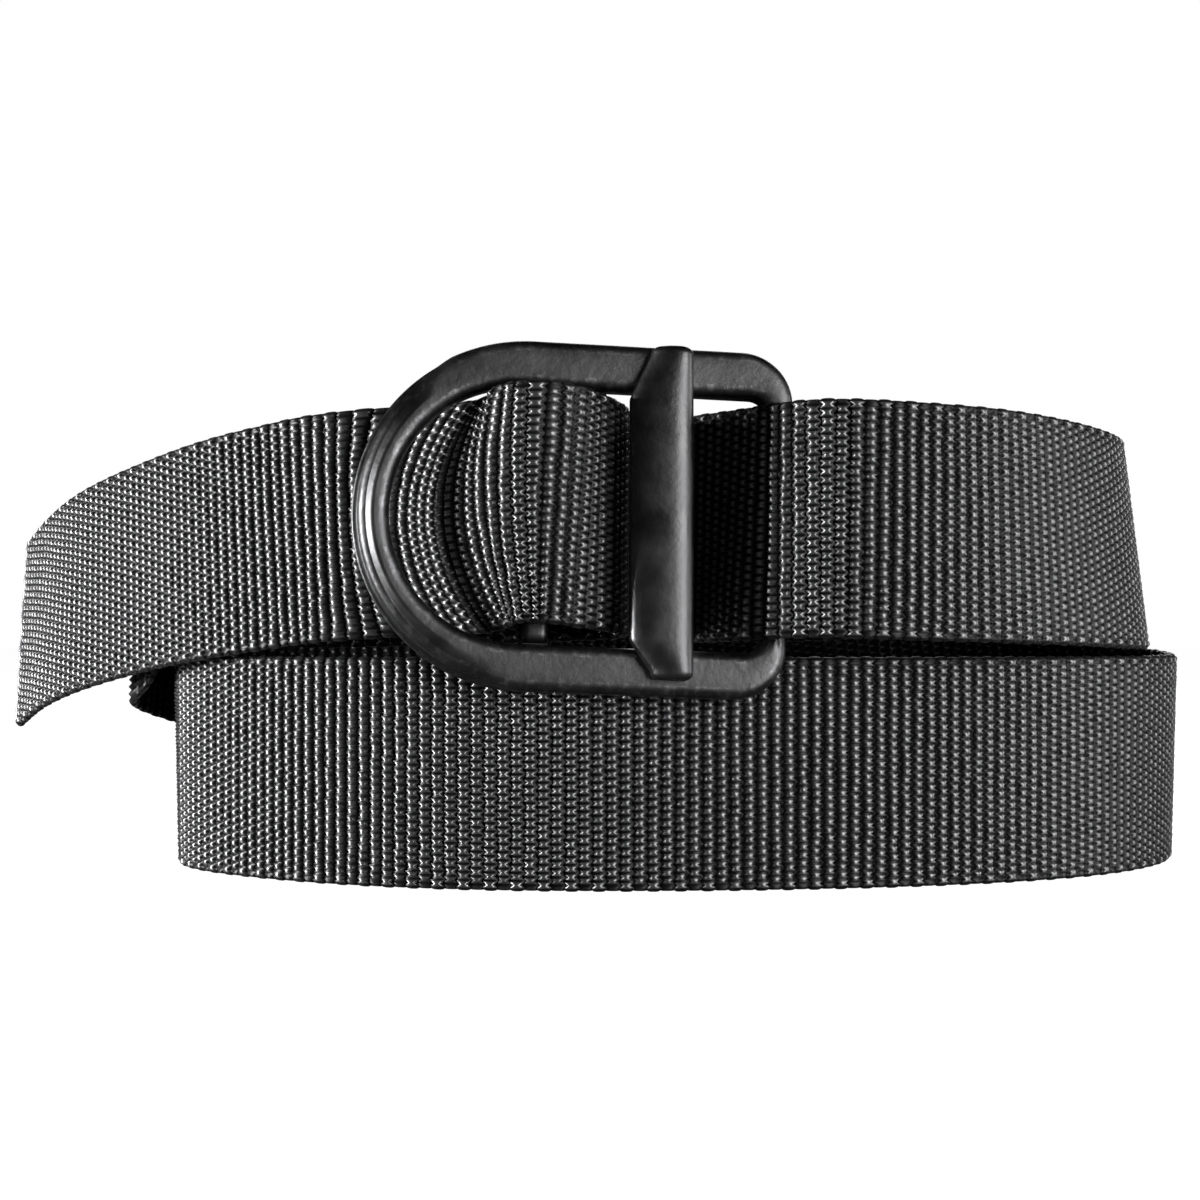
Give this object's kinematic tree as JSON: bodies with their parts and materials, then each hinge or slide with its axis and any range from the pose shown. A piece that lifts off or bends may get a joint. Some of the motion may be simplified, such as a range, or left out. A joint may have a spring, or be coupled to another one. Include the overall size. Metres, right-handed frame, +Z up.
{
  "type": "nylon belt",
  "caption": "Black nylon webbing belt coiled on its edge, with a D-shaped black steel friction buckle and a free tail.",
  "frame": {"origin": "middle of the belt's box, on the surface that the coil stands on", "axes": "+X to the right along the coil's front, +Y from the front to the back, +Z up"},
  "size_m": [0.2247, 0.1124, 0.0887],
  "materials": {
    "webbing": "ribbed weave",
    "steel": "satin black"
  },
  "bodies": {
    "root": {"webbing": "webbing", "buckle_ring": "steel", "crossbar": "steel", "inner_bar": "steel"}
  },
  "joints": []
}
